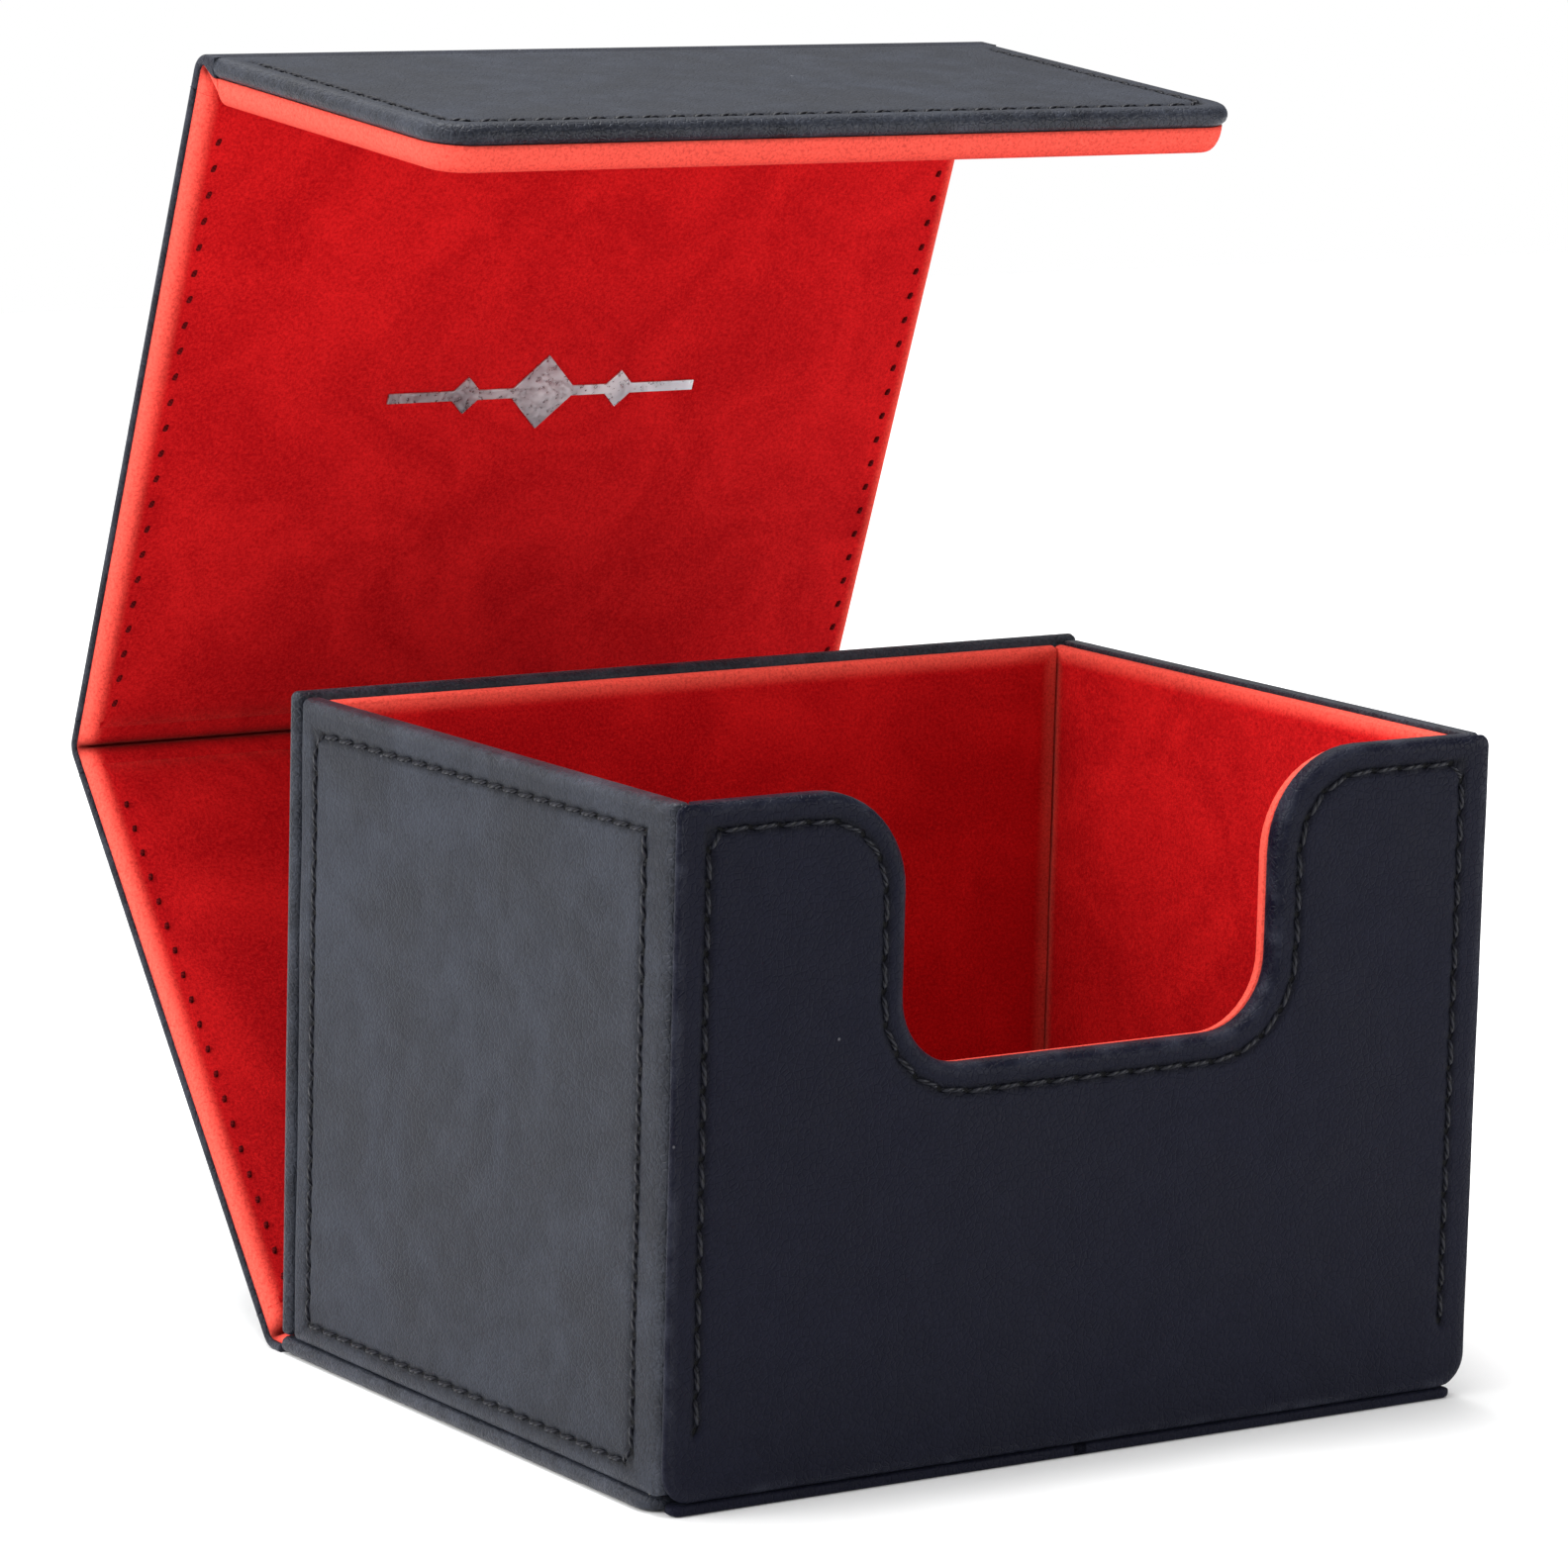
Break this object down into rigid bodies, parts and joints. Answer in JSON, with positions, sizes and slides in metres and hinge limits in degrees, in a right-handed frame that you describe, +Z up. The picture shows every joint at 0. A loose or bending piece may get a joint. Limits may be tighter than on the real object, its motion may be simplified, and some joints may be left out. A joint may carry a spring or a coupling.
{
  "type": "card deck box",
  "caption": "Leather covered tray for sleeved trading cards with a thumb notch in front and a hinged three panel lid with a red soft lining and a magnetic front flap.",
  "frame": {"origin": "middle of the tray's footprint, on the surface that it stands on", "axes": "+Z up, the front panel with the thumb notch faces -Y, +X to the right seen from the front, along the fold lines of the lid"},
  "size_m": [0.101, 0.1231, 0.1362],
  "materials": {
    "leather": "matt nubuck, blue-black",
    "lining": "short napped microfibre, red",
    "greyboard": "raw",
    "magnet": "nickel plated",
    "thread": "twisted polyester, dark grey with a sheen",
    "lining_thread": "twisted polyester, dark red",
    "foil": "hot stamped silver foil"
  },
  "bodies": {
    "tray": {"front_cover": "leather", "front_board": "greyboard", "front_lining": "lining", "front_magnet_left": "magnet", "front_magnet_right": "magnet", "front_thread": "thread", "left_cover": "leather", "left_board": "greyboard", "left_lining": "lining", "left_thread": "thread", "right_cover": "leather", "right_board": "greyboard", "right_lining": "lining", "right_thread": "thread", "back_cover": "leather", "back_board": "greyboard", "back_lining": "lining", "base_cover": "leather", "base_board": "greyboard", "floor_lining": "lining", "front_fold_leather": "leather", "rear_fold_leather": "leather", "rear_fold_lining": "lining"},
    "lid_back": {"lid_back_cover": "leather", "lid_back_board": "greyboard", "lid_back_lining": "lining", "lid_back_thread_left": "lining_thread", "lid_back_thread_right": "lining_thread", "middle_fold_leather": "leather", "middle_fold_lining": "lining"},
    "lid_top": {"lid_top_cover": "leather", "lid_top_board": "greyboard", "lid_top_lining": "lining", "lid_top_thread_left": "lining_thread", "lid_top_thread_right": "lining_thread", "foil_ornament": "foil", "top_fold_leather": "leather", "top_fold_lining": "lining"},
    "flap": {"flap_cover": "leather", "flap_board": "greyboard", "flap_lining": "lining", "flap_magnet_left": "magnet", "flap_magnet_right": "magnet", "flap_thread": "thread"}
  },
  "joints": [
    {"name": "lid_back_hinge", "type": "hinge", "parent": "tray", "child": "lid_back", "pos_m": [0, 0.0398, 0.0009], "axis": [1, 0, 0], "range_deg": [-51.7, 38.3], "deforming": ["rear_fold_leather", "rear_fold_lining"]},
    {"name": "lid_top_hinge", "type": "hinge", "parent": "lid_back", "child": "lid_top", "pos_m": [0, 0.08492, 0.05803], "axis": [1, 0, 0], "range_deg": [-57.4, 32.6], "deforming": ["middle_fold_leather", "middle_fold_lining"]},
    {"name": "flap_hinge", "type": "hinge", "parent": "lid_top", "child": "flap", "pos_m": [0, 0.05812, 0.13542], "axis": [1, 0, 0], "range_deg": [-75.4, 14.6], "deforming": ["top_fold_leather", "top_fold_lining"]}
  ]
}
